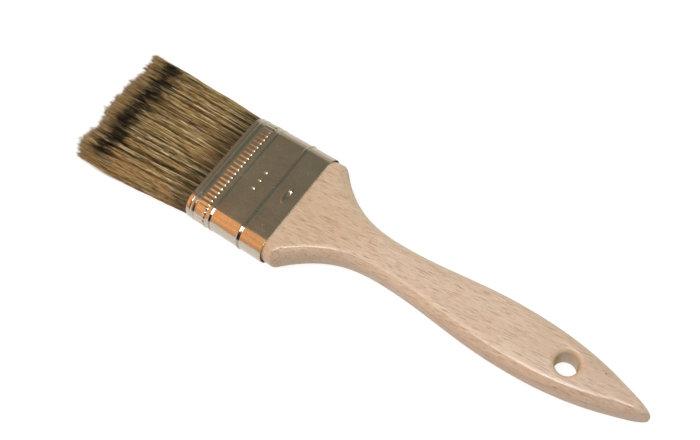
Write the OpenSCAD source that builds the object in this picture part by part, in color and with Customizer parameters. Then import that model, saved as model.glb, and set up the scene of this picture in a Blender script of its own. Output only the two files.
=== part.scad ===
// Flat paint brush, 50 mm size, lying flat.
// +X runs from the bristle tips to the tail of the handle, +Y across the width, +Z up through the thickness.
// The origin is under the middle of the brush, on the surface that it lies on. Lengths are in millimetres.

/* [Ferrule] */
// Width of the sheet-metal ferrule, outside
ferrule_width = 51; // [40:0.5:60]
// Thickness of the ferrule, outside
ferrule_thickness = 14.2; // [13:0.1:16]
// Length of the ferrule
ferrule_length = 38; // [36:0.5:44]
// Thickness of the sheet metal
ferrule_wall = 0.5; // [0.4:0.05:0.6]
// Outside radius of the ferrule's rounded sides
ferrule_corner = 7; // [5:0.1:7]
// How far the two beads stand proud
bead_height = 0.6; // [0.4:0.1:0.8]
// Distance from the mouth to the bead in front of the flutes
rim_bead_at = 3.7; // [3.4:0.1:3.9]
// Distance from the mouth to the bead behind the flutes
front_bead_at = 12.4; // [12:0.1:13]
// Distance from the mouth to the bead that marks the end of the tenon
rear_bead_at = 26.8; // [26:0.1:28]
// Number of short raised flutes round the ferrule
flute_count = 58; // [40:2:58]
// Length of a flute
flute_length = 5.2; // [3:0.1:6]

/* [Bristles] */
// Free length of the bristles, from the mouth to the longest tips
bristle_out = 61; // [50:1:70]
// Width of the tuft at its tips
tip_width = 56.5; // [52:0.5:60]
// Thickness of the tuft at its tips
tip_thickness = 7; // [5:0.5:9]
// Depth to which the bristles are set in the ferrule
setting_depth = 18; // [16:0.5:20]
// Thickness of the filler strip between the two layers of bristles
filler_thickness = 4; // [3:0.5:5]
// Distance from the mouth to the line that the bristles bend about
bend_out = 9; // [9:0.5:12]

/* [Handle] */
// Length of the handle beyond the ferrule
handle_length = 146; // [135:1:160]
// Length of the tenon inside the ferrule
tenon_length = 12.8; // [11:0.1:13]
// Width that the shoulder's sweep would reach at the ferrule
sweep_width = 61.5; // [58:0.5:66]
// Width of the neck, the narrowest part
neck_width = 15.8; // [14:0.2:18]
// Distance from the ferrule to the neck
neck_at = 44; // [40:1:48]
// Width of the belly, the widest part of the grip
belly_width = 22.6; // [20:0.2:25]
// Distance from the ferrule to the belly
belly_at = 93; // [88:1:98]
// Radius that rounds the long edges
edge_radius = 5; // [4:0.25:5.5]
// Diameter of the hole that the brush hangs by
hang_hole = 8.2; // [6:0.2:9]
// Distance from the hang hole's centre to the tail
hang_hole_from_tail = 30.8; // [28:0.2:34]

/* [Hidden] */
$fn = 64;

// Clearance round each piece that sits inside the ferrule
fit_gap = 0.05;
// Clearance between the roots and the bending part of the tuft
bend_gap = 0.3;
// More than any size that a cutter has to reach
reach = 100;
// A small overlap that keeps two cuts or two joined shapes from meeting face to face
overlap = 0.5;

total_length = bristle_out + ferrule_length + handle_length;
mouth_x = bristle_out - total_length / 2;
ferrule_end_x = mouth_x + ferrule_length;
tail_x = ferrule_end_x + handle_length;
mid_z = ferrule_thickness / 2 + bead_height;
bend_x = mouth_x - bend_out;

inner_width = ferrule_width - 2 * ferrule_wall;
inner_thickness = ferrule_thickness - 2 * ferrule_wall;
corner = min(ferrule_corner, ferrule_thickness / 2 - 0.1);

// A point at a share u of the way from a to b
function between(a, b, u) = a + (b - a) * u;

// The lesser of a and b, with the corner between them rounded over about k
function smooth_min(a, b, k) = let (h = max(k - abs(a - b), 0) / k) min(a, b) - h * h * k / 4;

// ---- Ferrule -----------------------------------------------------------------------------

bead_steps = 3;
flute_start = 4.9;
flute_radius = 0.85;
flute_height = 0.3;
stake_at = 33;
stake_length = 5.6;
stake_radius = 1.5;
stake_depth = 0.35;
pip_at = 19.5;
pip_pitch = 4;
pip_radius = 0.9;
pip_height = 0.3;
seam_width = 0.3;
seam_depth = 0.2;

// A rectangle with round corners, from plain shapes so that its arcs stay true
module rounded_rectangle(width, height, radius) {
    square([width - 2 * radius, height], center = true);
    square([width, height - 2 * radius], center = true);
    for (side = [-1, 1], edge = [-1, 1])
        translate([side * (width / 2 - radius), edge * (height / 2 - radius)])
            circle(radius);
}

// A bar along X with the ferrule's own section, grown all round by a given amount
module ferrule_bar(from_x, length, grow) {
    translate([from_x, 0, mid_z])
        rotate([90, 0, 90])
            linear_extrude(length)
                rounded_rectangle(
                    ferrule_width + 2 * grow, ferrule_thickness + 2 * grow, corner + grow);
}

// A bar that fits inside the ferrule
module inner_bar(from_x, length) {
    ferrule_bar(from_x, length, -ferrule_wall - fit_gap);
}

// A bead that runs all the way round the ferrule, rounded in steps
module bead(at_x) {
    for (i = [1 : bead_steps]) {
        half_width = bead_height * cos(90 * (i - 0.5) / bead_steps);
        ferrule_bar(at_x - half_width, 2 * half_width, bead_height * sin(90 * i / bead_steps));
    }
}

// The point at distance s round the ferrule's section and its outward direction, as [y, z, degrees].
// It starts in the middle of the upper face and runs towards +Y.
function section_point(s) =
    let (
        flat_y = ferrule_width / 2 - corner,
        flat_z = ferrule_thickness / 2 - corner,
        arc = PI / 2 * corner,
        quarter = flat_y + arc + flat_z,
        quadrant = floor(s / quarter),
        mirrored = quadrant % 2 == 1,
        t = mirrored ? quarter - (s - quadrant * quarter) : s - quadrant * quarter,
        turn = min(max(t - flat_y, 0), arc) / corner * 180 / PI,
        y = min(t, flat_y) + corner * sin(turn),
        z = flat_z - max(t - flat_y - arc, 0) + corner * cos(turn),
        sign_y = quadrant < 2 ? 1 : -1,
        sign_z = quadrant == 0 || quadrant == 3 ? 1 : -1
    )
    [sign_y * y, sign_z * z, atan2(sign_y * sin(turn), sign_z * cos(turn))];

section_length = 4 * (ferrule_width / 2 - corner + PI / 2 * corner + ferrule_thickness / 2 - corner);

// The raised flutes, which lie side by side all round
module flutes() {
    for (i = [0 : flute_count - 1]) {
        p = section_point((i + 0.5) * section_length / flute_count);
        rise = flute_height - flute_radius;
        translate([mouth_x + flute_start, p[0] + rise * sin(p[2]), mid_z + p[1] + rise * cos(p[2])])
            rotate([0, 90, 0])
                cylinder(r = flute_radius, h = flute_length, $fn = 24);
    }
}

// The dent that stakes the ferrule to the tenon, on one face
module stake(side) {
    translate([
        mouth_x + stake_at, 0, mid_z + side * (ferrule_thickness / 2 + stake_radius - stake_depth)])
        rotate([90, 0, 0])
            cylinder(r = stake_radius, h = stake_length, center = true);
}

// Three plain raised pips in a row across the upper face
module pips() {
    for (i = [-1 : 1])
        translate([
            mouth_x + pip_at, i * pip_pitch,
            mid_z + ferrule_thickness / 2 + pip_height - pip_radius])
            sphere(pip_radius);
}

module ferrule() {
    color([0.62, 0.6, 0.56])
        difference() {
            union() {
                ferrule_bar(mouth_x, ferrule_length, 0);
                flutes();
                bead(mouth_x + rim_bead_at);
                bead(mouth_x + front_bead_at);
                bead(mouth_x + rear_bead_at);
                pips();
            }
            ferrule_bar(mouth_x - overlap, ferrule_length + 2 * overlap, -ferrule_wall);
            stake(1);
            stake(-1);
            // The seam where the strip's two ends meet, along the lower face
            translate([mouth_x + ferrule_length / 2, 0, mid_z - ferrule_thickness / 2 - bead_height])
                cube([ferrule_length + overlap, seam_width, 2 * (bead_height + seam_depth)], center = true);
        }
}

// ---- Handle ------------------------------------------------------------------------------

// The handle's outline is a function of x, the distance from the ferrule's end towards the tail
shoulder_width = inner_width - 0.8;
handle_thickness = inner_thickness - 2 * fit_gap;
shoulder_rounding = 2.5;
sweep_power = 2.6;
tail_power = 2.3;
tail_overrun = 1.5;
tail_nose = 2.4;
tail_round = 7;
hole_rounding = 2;
least_flat = 0.15;
// Degrees that the edge rounding turns through before it meets the flat face in a soft crease
crease_turn = 73;
crease_run_in = 1.6;
// The tenon's edge rounding clears the ferrule's corners by this much, and eases off over this run
corner_clearance = 0.4;
rounding_run = 18;

function shoulder(x) =
    smooth_min(
        shoulder_width,
        neck_width + (sweep_width - neck_width) * pow(1 - x / neck_at, sweep_power),
        shoulder_rounding);

function grip(x) =
    between(neck_width, belly_width, (1 - cos(180 * (x - neck_at) / (belly_at - neck_at))) / 2);

function tail(x) =
    belly_width * (1 - pow((x - belly_at) / (handle_length + tail_overrun - belly_at), tail_power));

// The rounded nose that ends the tail
function nose(x) =
    let (d = x - (handle_length - tail_nose)) 2 * sqrt(tail_nose * tail_nose - 0.95 * d * d);

// Width of the handle at x, where x below 0 is the tenon
function width(x) =
    x < 0 ? shoulder_width
    : x < neck_at ? shoulder(x)
    : x < belly_at ? grip(x)
    : x < handle_length - tail_nose ? tail(x)
    : min(tail(x), nose(x));

// Half the thickness at x: even, and rounded down towards the tail's end
function half_thickness(x) =
    let (d = max(x - (handle_length - tail_round), 0) / tail_round)
    handle_thickness / 2 * sqrt(max(1 - pow(d, 3), 0.02));

// Radius of the edge rounding at x: the ferrule's own corner in the tenon, easing off to edge_radius
function edge_rounding(x) =
    edge_radius + (corner - corner_clearance - edge_radius) * pow(1 - min(max(x, 0) / rounding_run, 1), 2);

// How far the edge rounding reaches in from the side, along Y, where the outline runs at a slant
function edge_reach(x) =
    let (slope = (width(x + 0.1) - width(x - 0.1)) / 0.4)
    min(edge_rounding(x) * sqrt(1 + slope * slope), width(x) / 2 - least_flat);

// Degrees that the edge rounding turns through at x: a plain quarter in the tenon, less along the grip
function edge_turn(x) = between(90, crease_turn, min(max(x, 0) / crease_run_in, 1));

// Points of one cross-section at x, in order round it
edge_steps = 7;
function section(x) =
    let (
        a = width(x) / 2,
        h = half_thickness(x),
        e = edge_reach(x),
        v = min(edge_rounding(x), h - least_flat),
        turn = edge_turn(x),
        quarter = [
            for (i = [0 : edge_steps])
                let (t = turn * i / edge_steps) [a - e + e * cos(t), h - v * sin(turn) + v * sin(t)]
        ],
        upper = concat(quarter, [for (i = [edge_steps : -1 : 0]) [-quarter[i][0], quarter[i][1]]]),
        ring = concat(upper, [for (i = [len(upper) - 1 : -1 : 0]) [upper[i][0], -upper[i][1]]])
    )
    [for (p = ring) [ferrule_end_x + x, p[0], mid_z + p[1]]];

// Where the cross-sections stand: close together at the shoulder and the tail
stations = concat(
    [-tenon_length, -0.8],
    [for (x = [0 : 0.8 : 12]) x],
    [for (x = [14 : 3 : handle_length - 20]) x],
    [for (i = [0 : 16]) handle_length - 18 * pow(1 - i / 16, 1.6)]
);

// A solid through a row of closed rings that all have the same number of points
module loft(rings) {
    n = len(rings[0]);
    last = len(rings) - 1;
    polyhedron(
        points = [for (ring = rings) each ring],
        faces = concat(
            [[for (j = [0 : n - 1]) j]],
            [[for (j = [n - 1 : -1 : 0]) last * n + j]],
            [
                for (i = [0 : last - 1], j = [0 : n - 1])
                    [i * n + j, (i + 1) * n + j, (i + 1) * n + (j + 1) % n]
            ],
            [
                for (i = [0 : last - 1], j = [0 : n - 1])
                    [i * n + j, (i + 1) * n + (j + 1) % n, i * n + (j + 1) % n]
            ]
        )
    );
}

// The bore that the brush hangs by, with both of its rims rounded over
module hang_hole_cutter() {
    rim = hang_hole / 2 + hole_rounding;
    cylinder(d = hang_hole, h = 2 * handle_thickness, center = true);
    for (side = [0, 180])
        rotate([side, 0, 0])
            rotate_extrude()
                difference() {
                    translate([0, handle_thickness / 2 - hole_rounding])
                        square([rim, 2 * hole_rounding]);
                    translate([rim, handle_thickness / 2 - hole_rounding])
                        circle(hole_rounding);
                }
}

module handle() {
    color([0.82, 0.68, 0.55])
        difference() {
            loft([for (x = stations) section(x)]);
            translate([tail_x - hang_hole_from_tail, 0, mid_z])
                hang_hole_cutter();
        }
}

// ---- Inside the ferrule ------------------------------------------------------------------

filler_recess = 2;

// The strip of wood that holds the two layers of bristles apart and leaves room for paint
module filler_strip() {
    color([0.78, 0.62, 0.42])
        intersection() {
            inner_bar(mouth_x + filler_recess, setting_depth - filler_recess);
            translate([mouth_x + setting_depth / 2, 0, mid_z])
                cube([setting_depth, inner_width, filler_thickness], center = true);
        }
}

// The block of cast resin that locks the bristles' butt ends, up to the tenon
module resin_setting() {
    color([0.55, 0.36, 0.14])
        inner_bar(mouth_x + setting_depth, ferrule_length - tenon_length - setting_depth - fit_gap);
}

// ---- Bristles ----------------------------------------------------------------------------

// The tuft's thickness where it starts to bend, and the gap between its two layers there
bend_thickness = between(inner_thickness, tip_thickness, bend_out / bristle_out);
bend_width = between(inner_width, tip_width, bend_out / bristle_out);
layer_gap = 1;
layer_gap_at_tip = 0.1;
lip = 3;

// The set end of one layer of bristles, which stays still: side is 1 for the upper layer, -1 for the lower
module root(side) {
    difference() {
        intersection() {
            inner_bar(bend_x + lip, bend_out - lip + setting_depth);
            translate([mouth_x, 0, mid_z + side * (filler_thickness / 2 + reach / 2)])
                cube(reach, center = true);
        }
        // The hollow that the bending part turns in
        translate([bend_x, 0, mid_z])
            rotate([90, 0, 0])
                cylinder(d = bend_thickness + 2 * bend_gap, h = reach, center = true);
    }
}

// The side view of the upper layer's free part, about the line that it bends on, tips towards -X
module layer_side_view() {
    free = bristle_out - bend_out;
    polygon([
        [0, layer_gap / 2],
        [0, bend_thickness / 2],
        [-free, tip_thickness / 2],
        [-free, layer_gap_at_tip / 2]
    ]);
    intersection() {
        circle(d = bend_thickness);
        translate([0, layer_gap / 2])
            square(bend_thickness);
    }
}

// The free part of one layer of bristles, flared in plan and tapered towards the tips
module tuft(side) {
    free = bristle_out - bend_out;
    cap = bend_thickness;
    intersection() {
        translate([bend_x, reach / 2, mid_z])
            mirror([0, 0, side < 0 ? 1 : 0])
                rotate([90, 0, 0])
                    linear_extrude(reach)
                        layer_side_view();
        translate([bend_x, 0, mid_z - reach / 2])
            linear_extrude(reach)
                polygon([
                    [cap, -bend_width / 2],
                    [0, -bend_width / 2],
                    [-free, -tip_width / 2],
                    [-free, tip_width / 2],
                    [0, bend_width / 2],
                    [cap, bend_width / 2]
                ]);
    }
}

module root_upper() {
    color([0.45, 0.36, 0.2]) root(1);
}

module root_lower() {
    color([0.4, 0.32, 0.18]) root(-1);
}

module tuft_upper() {
    color([0.56, 0.45, 0.26]) tuft(1);
}

module tuft_lower() {
    color([0.5, 0.4, 0.23]) tuft(-1);
}

handle();
ferrule();
filler_strip();
resin_setting();
root_upper();
root_lower();
tuft_upper();
tuft_lower();
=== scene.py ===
"""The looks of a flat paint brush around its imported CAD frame.

Everything is in metres in the frame's own axes: +X from the bristle tips to the tail, +Y across the width,
+Z up through the thickness, with the brush lying on z = 0.
"""

import math

import bpy
import numpy as np
from mathutils import Matrix, Vector


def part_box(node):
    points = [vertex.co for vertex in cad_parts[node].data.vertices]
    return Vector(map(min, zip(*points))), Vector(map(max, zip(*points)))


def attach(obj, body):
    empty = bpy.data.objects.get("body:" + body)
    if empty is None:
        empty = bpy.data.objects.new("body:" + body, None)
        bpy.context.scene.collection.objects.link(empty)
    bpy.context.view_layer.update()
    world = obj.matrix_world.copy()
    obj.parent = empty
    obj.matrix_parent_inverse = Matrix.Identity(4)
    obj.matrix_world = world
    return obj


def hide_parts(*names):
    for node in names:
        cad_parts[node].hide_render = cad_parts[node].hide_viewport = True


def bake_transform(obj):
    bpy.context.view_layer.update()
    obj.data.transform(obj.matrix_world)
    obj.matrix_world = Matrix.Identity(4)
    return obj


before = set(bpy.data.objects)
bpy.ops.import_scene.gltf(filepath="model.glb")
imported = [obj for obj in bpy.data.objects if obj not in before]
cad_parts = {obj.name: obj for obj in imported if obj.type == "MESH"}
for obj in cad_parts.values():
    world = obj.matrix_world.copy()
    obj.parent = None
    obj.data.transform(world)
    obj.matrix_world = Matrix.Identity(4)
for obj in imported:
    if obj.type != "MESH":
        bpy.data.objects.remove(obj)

MM = 0.001
rng = np.random.default_rng(50)

# ---- Places and sizes, from the frame ---------------------------------------------------

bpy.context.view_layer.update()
ferrule_low, ferrule_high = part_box("ferrule")
handle_low, handle_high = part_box("handle")

BEAD_HEIGHT = 0.6 * MM
MOUTH_X = ferrule_low.x
FERRULE_LENGTH = ferrule_high.x - ferrule_low.x
FERRULE_END_X = ferrule_high.x
FERRULE_WIDTH = ferrule_high.y - ferrule_low.y - 2 * BEAD_HEIGHT
FERRULE_THICKNESS = ferrule_high.z - ferrule_low.z - 2 * BEAD_HEIGHT
MID_Z = (ferrule_low.z + ferrule_high.z) / 2
TAIL_X = handle_high.x
HANDLE_LENGTH = TAIL_X - FERRULE_END_X
TENON_LENGTH = FERRULE_END_X - handle_low.x
HANDLE_THICKNESS = handle_high.z - handle_low.z
SHOULDER_WIDTH = handle_high.y - handle_low.y
TIP_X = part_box("tuft_upper")[0].x

HANDLE_BODY, BRISTLE_BODY = "handle_and_ferrule", "bristles"
WALL = 0.5 * MM
CORNER = 7 * MM


# ---- Mesh helpers -----------------------------------------------------------------------


def make_mesh(name, points, quads, triangles=()):
    """A mesh object from arrays of points and of corner indices."""
    quads = np.asarray(quads, np.int32).reshape(-1, 4)
    triangles = np.asarray(triangles, np.int32).reshape(-1, 3)
    mesh = bpy.data.meshes.new(name)
    mesh.vertices.add(len(points))
    mesh.vertices.foreach_set("co", np.asarray(points, np.float32).ravel())
    mesh.loops.add(quads.size + triangles.size)
    mesh.loops.foreach_set("vertex_index", np.concatenate([quads.ravel(), triangles.ravel()]))
    counts = np.concatenate([np.full(len(quads), 4), np.full(len(triangles), 3)])
    mesh.polygons.add(len(counts))
    mesh.polygons.foreach_set("loop_start", np.concatenate([[0], np.cumsum(counts)[:-1]]).astype(np.int32))
    mesh.update(calc_edges=True)
    mesh.validate()
    mesh.shade_smooth()
    piece = bpy.data.objects.new(name, mesh)
    bpy.context.scene.collection.objects.link(piece)
    return piece


def grid_quads(rows, columns, flip=False):
    """Corner indices of a grid whose columns close on themselves."""
    i, j = np.meshgrid(np.arange(rows - 1), np.arange(columns), indexing="ij")
    k = (j + 1) % columns
    corners = [i * columns + j, (i + 1) * columns + j, (i + 1) * columns + k, i * columns + k]
    return np.stack(corners[::-1] if flip else corners, axis=-1).reshape(-1, 4)


def smoothstep(low, high, x):
    t = np.clip((x - low) / (high - low), 0, 1)
    return t * t * (3 - 2 * t)


class Waves:
    """A smooth random field over y, x and z: a sum of sine waves with lengths between the given pairs."""

    def __init__(self, across, along, deep, count=14):
        spans = [rng.uniform(*pair, count) * rng.choice([-1, 1], count) for pair in (across, along, deep)]
        self.rates = [2 * math.pi / span for span in spans]
        self.phases = rng.uniform(0, 2 * math.pi, count)

    def __call__(self, y, x, z):
        total = 0
        for ky, kx, kz, phase in zip(*self.rates, self.phases):
            total = total + np.sin(ky * y + kx * x + kz * z + phase)
        return total / math.sqrt(len(self.phases) / 2)


def apply_modifiers(piece):
    """Replaces the piece's mesh with what its modifiers make of it."""
    depsgraph = bpy.context.evaluated_depsgraph_get()
    result = bpy.data.meshes.new_from_object(piece.evaluated_get(depsgraph))
    piece.modifiers.clear()
    piece.data = result


# ---- Material helpers -------------------------------------------------------------------


class Nodes:
    """Short calls for a node tree's nodes and links."""

    def __init__(self, name):
        self.material = bpy.data.materials.new(name)
        self.material.use_nodes = True
        self.tree = self.material.node_tree
        self.shader = self.tree.nodes["Principled BSDF"]

    def node(self, kind, settings=None, **inputs):
        made = self.tree.nodes.new(kind)
        for key, value in (settings or {}).items():
            setattr(made, key, value)
        for key, value in inputs.items():
            self.set(made, key, value)
        return made

    def set(self, target, key, value):
        """Gives an input a value or a link. The key is its name, with _ for a space, or _ and its index."""
        by_index = key[0] == "_" and key[1:].isdigit()
        socket = target.inputs[int(key[1:]) if by_index else key.replace("_", " ")]
        if isinstance(value, bpy.types.NodeSocket):
            self.tree.links.new(value, socket)
        else:
            socket.default_value = value

    def math(self, operation, a, b=0.0, c=0.0):
        return self.node("ShaderNodeMath", {"operation": operation}, _0=a, _1=b, _2=c).outputs[0]

    def step(self, value, low, high):
        """0 below low, 1 above high and smooth between; low may be the larger, which turns it round."""
        settings = {"interpolation_type": "SMOOTHSTEP"}
        flipped = low > high
        made = self.node(
            "ShaderNodeMapRange", settings, _0=value, _1=min(low, high), _2=max(low, high),
            _3=float(flipped), _4=float(not flipped))
        return made.outputs[0]

    def ramp(self, factor, stops):
        made = self.node("ShaderNodeValToRGB", None, Fac=factor)
        elements = made.color_ramp.elements
        while len(elements) < len(stops):
            elements.new(0.5)
        for element, (position, colour) in zip(elements, stops):
            element.position = position
            element.color = (*colour, 1)
        return made.outputs["Color"]

    def mix(self, factor, a, b, blend="MIX"):
        made = self.node("ShaderNodeMix", {"data_type": "RGBA", "blend_type": blend, "clamp_factor": True})
        self.set(made, "_0", factor)
        for index, value in ((6, a), (7, b)):
            if isinstance(value, bpy.types.NodeSocket):
                self.tree.links.new(value, made.inputs[index])
            else:
                made.inputs[index].default_value = (*value, 1)
        return made.outputs[2]

    def noise(self, vector, scale=1.0, detail=3.0, roughness=0.5, distortion=0.0):
        made = self.node(
            "ShaderNodeTexNoise", None,
            Vector=vector, Scale=scale, Detail=detail, Roughness=roughness, Distortion=distortion)
        return made.outputs["Fac"]

    def place(self, x, y, z, shift=0, turn=0):
        """The object's own coordinates in features of x, y and z millimetres, turned about Z."""
        coordinates = self.node("ShaderNodeTexCoord").outputs["Object"]
        mapping = self.node(
            "ShaderNodeMapping", {"vector_type": "TEXTURE"},
            Vector=coordinates, Scale=(x * MM, y * MM, z * MM),
            Location=(0.1 * shift, 0.07 * shift, 0.05 * shift), Rotation=(0, 0, turn))
        return mapping.outputs[0]

    def spot(self, centre, radius, axes=(1, 1, 1)):
        """1 within the radius of a place, given in metres, falling to 0 just outside.

        The distance is measured along the axes marked 1.
        """
        coordinates = self.node("ShaderNodeTexCoord").outputs["Object"]
        multiply, distance = {"operation": "MULTIPLY"}, {"operation": "DISTANCE"}
        counted = self.node("ShaderNodeVectorMath", multiply, _0=coordinates, _1=axes).outputs[0]
        away = self.node("ShaderNodeVectorMath", distance, _0=counted, _1=centre)
        return self.step(away.outputs["Value"], radius * 1.3, radius * 0.7)

    def attribute(self, name):
        return self.node("ShaderNodeAttribute", {"attribute_name": name}).outputs["Fac"]

    def bump(self, height, distance, strength=1.0):
        made = self.node("ShaderNodeBump", None, Strength=strength, Distance=distance, Height=height)
        self.set(self.shader, "Normal", made.outputs[0])


# ---- Handle -----------------------------------------------------------------------------

SWEEP_WIDTH = 61.5 * MM
NECK_WIDTH, NECK_AT = 15.8 * MM, 44 * MM
BELLY_WIDTH, BELLY_AT = 22.6 * MM, 93 * MM
EDGE_RADIUS = 5 * MM
HOLE_RADIUS, HOLE_FROM_TAIL, HOLE_ROUNDING = 4.1 * MM, 30.8 * MM, 2 * MM
SHOULDER_ROUNDING = 2.5 * MM
SWEEP_POWER, TAIL_POWER = 2.6, 2.3
TAIL_OVERRUN, TAIL_NOSE, TAIL_ROUND = 1.5 * MM, 2.4 * MM, 7 * MM
NOSE_SLOPE = -2
LEAST_FLAT = 0.15 * MM
CREASE_TURN, CREASE_RUN_IN, CREASE_BLEND = math.radians(73), 1.6 * MM, 1.3 * MM
CORNER_CLEARANCE, ROUNDING_RUN = 0.4 * MM, 18 * MM


def handle_width(x):
    """Width of the handle at a distance x from the ferrule's end, x below 0 in the tenon."""
    if x < 0:
        return SHOULDER_WIDTH
    if x < NECK_AT:
        sweep = NECK_WIDTH + (SWEEP_WIDTH - NECK_WIDTH) * (1 - x / NECK_AT) ** SWEEP_POWER
        blend = max(SHOULDER_ROUNDING - abs(SHOULDER_WIDTH - sweep), 0) / SHOULDER_ROUNDING
        return min(SHOULDER_WIDTH, sweep) - blend * blend * SHOULDER_ROUNDING / 4
    if x < BELLY_AT:
        share = (1 - math.cos(math.pi * (x - NECK_AT) / (BELLY_AT - NECK_AT))) / 2
        return NECK_WIDTH + (BELLY_WIDTH - NECK_WIDTH) * share
    tail = BELLY_WIDTH * (1 - ((x - BELLY_AT) / (HANDLE_LENGTH + TAIL_OVERRUN - BELLY_AT)) ** TAIL_POWER)
    d = x - (HANDLE_LENGTH - TAIL_NOSE)
    return tail if d < 0 else min(tail, 2 * math.sqrt(TAIL_NOSE**2 - 0.95 * d * d))


def handle_half_thickness(x):
    d = max(x - (HANDLE_LENGTH - TAIL_ROUND), 0) / TAIL_ROUND
    return HANDLE_THICKNESS / 2 * math.sqrt(max(1 - d**3, 0.02))


def handle_section(x, steps=12):
    """The points of the handle's cross-section at x, as an array of [y, z].

    Past the ferrule, the rounding of the long edges meets the flat faces in a soft crease.
    """
    step = 0.1 * MM
    slope = NOSE_SLOPE
    if x < HANDLE_LENGTH - step:
        slope = (handle_width(x + step) - handle_width(x - step)) / (4 * step)
    half, thick = handle_width(x) / 2, handle_half_thickness(x)
    ease = (1 - min(max(x, 0) / ROUNDING_RUN, 1)) ** 2
    rounding = EDGE_RADIUS + (CORNER - CORNER_CLEARANCE - EDGE_RADIUS) * ease
    reach = min(rounding * math.hypot(1, slope), half - LEAST_FLAT)
    rise = min(rounding, thick - LEAST_FLAT)
    last = math.pi / 2 + (CREASE_TURN - math.pi / 2) * min(max(x, 0) / CREASE_RUN_IN, 1)
    turn = np.linspace(0, last, steps)
    y = half - reach + reach * np.cos(turn)
    z = thick + rise * (np.sin(turn) - math.sin(last))
    # The soft crease: a parabola between the last of the rounding and the first of the flat face
    edge_y, blend = y[-1], min(CREASE_BLEND, y[-1] / 2, reach / 3)
    tangent = math.tan(math.pi / 2 - last) * rise / reach
    kept = y > edge_y + blend
    u = np.linspace(1, -1, 7)
    y = np.concatenate([y[kept], edge_y + u * blend])
    z = np.concatenate([z[kept], thick - tangent * blend * (u + 1) ** 2 / 4])
    # The same number of points at every x, evenly spaced by length
    length = np.concatenate([[0], np.cumsum(np.hypot(np.diff(y), np.diff(z)))])
    bend = length[kept.sum() - 1]
    even = np.concatenate([np.linspace(0, bend, steps), np.linspace(bend, length[-1], 8)[1:]])
    y, z = np.interp(even, length, y), np.interp(even, length, z)
    flat = np.linspace(1, -1, 9)[1:-1, None] * [y[-1], 0] + [0, z[-1]]
    quarter = np.stack([y, z], axis=1)
    upper = np.concatenate([quarter, flat, quarter[::-1] * [-1, 1]])
    return np.concatenate([upper, upper[::-1] * [1, -1]])


def build_handle():
    stations = np.concatenate([
        [-TENON_LENGTH, -3 * MM],
        np.arange(-1, 14, 0.35) * MM,
        np.arange(14, HANDLE_LENGTH / MM - 18, 0.8) * MM,
        HANDLE_LENGTH - 18 * MM * (1 - np.linspace(0, 1, 60)) ** 1.5,
    ])
    rings = [handle_section(x) for x in stations]
    count = len(rings[0])
    points = np.concatenate([
        np.column_stack([np.full(count, FERRULE_END_X + x), ring[:, 0], ring[:, 1] + MID_Z])
        for x, ring in zip(stations, rings)
    ])
    centres = [points[:count].mean(axis=0), points[-count:].mean(axis=0)]
    first, last = len(points), len(points) + 1
    around = np.arange(count)
    start_cap = np.column_stack([np.full(count, first), around, (around + 1) % count])
    end = len(points) - count
    end_cap = np.column_stack([np.full(count, last), end + (around + 1) % count, end + around])
    points = np.concatenate([points, centres])
    return make_mesh("handle", points, grid_quads(len(rings), count), np.concatenate([start_cap, end_cap]))


def cut_hang_hole(piece):
    """Cuts the hanging hole through the handle, with both rims rounded over."""
    half = HANDLE_THICKNESS / 2
    turn = np.linspace(0, math.pi / 2, 13)
    rim = HOLE_RADIUS + HOLE_ROUNDING
    radius = rim - HOLE_ROUNDING * np.cos(turn)
    curve = np.stack([radius, half - HOLE_ROUNDING + HOLE_ROUNDING * np.sin(turn)], 1)
    top = np.concatenate([curve, [[rim + 0.4 * MM, half + 0.02 * MM], [rim + 0.4 * MM, half + 2 * MM]]])
    profile = np.concatenate([top[::-1] * [1, -1], top])
    sides = 96
    angle = np.arange(sides) * 2 * math.pi / sides
    rings = [
        np.stack([r * np.cos(angle), r * np.sin(angle), np.full(sides, z)], 1)
        for r, z in profile
    ]
    place = np.array([TAIL_X - HOLE_FROM_TAIL, 0, MID_Z])
    points = np.concatenate(rings) + place
    last = len(points) - sides
    around = np.arange(sides)
    caps = [
        np.column_stack([np.full(sides, len(points)), (around + 1) % sides, around]),
        np.column_stack([np.full(sides, len(points) + 1), last + around, last + (around + 1) % sides]),
    ]
    points = np.concatenate([points, [place + [0, 0, profile[0][1]], place + [0, 0, profile[-1][1]]]])
    quads = grid_quads(len(profile), sides, flip=True)
    cutter = make_mesh("hole_cutter", points, quads, np.concatenate(caps))
    boolean = piece.modifiers.new("hole", "BOOLEAN")
    boolean.operation, boolean.solver, boolean.object = "DIFFERENCE", "EXACT", cutter
    apply_modifiers(piece)
    bpy.data.objects.remove(cutter)


PIN_KNOT_X, PIN_KNOT_Y = 104 * MM, 3.8 * MM
GRAIN_TURN = math.radians(5)


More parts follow.
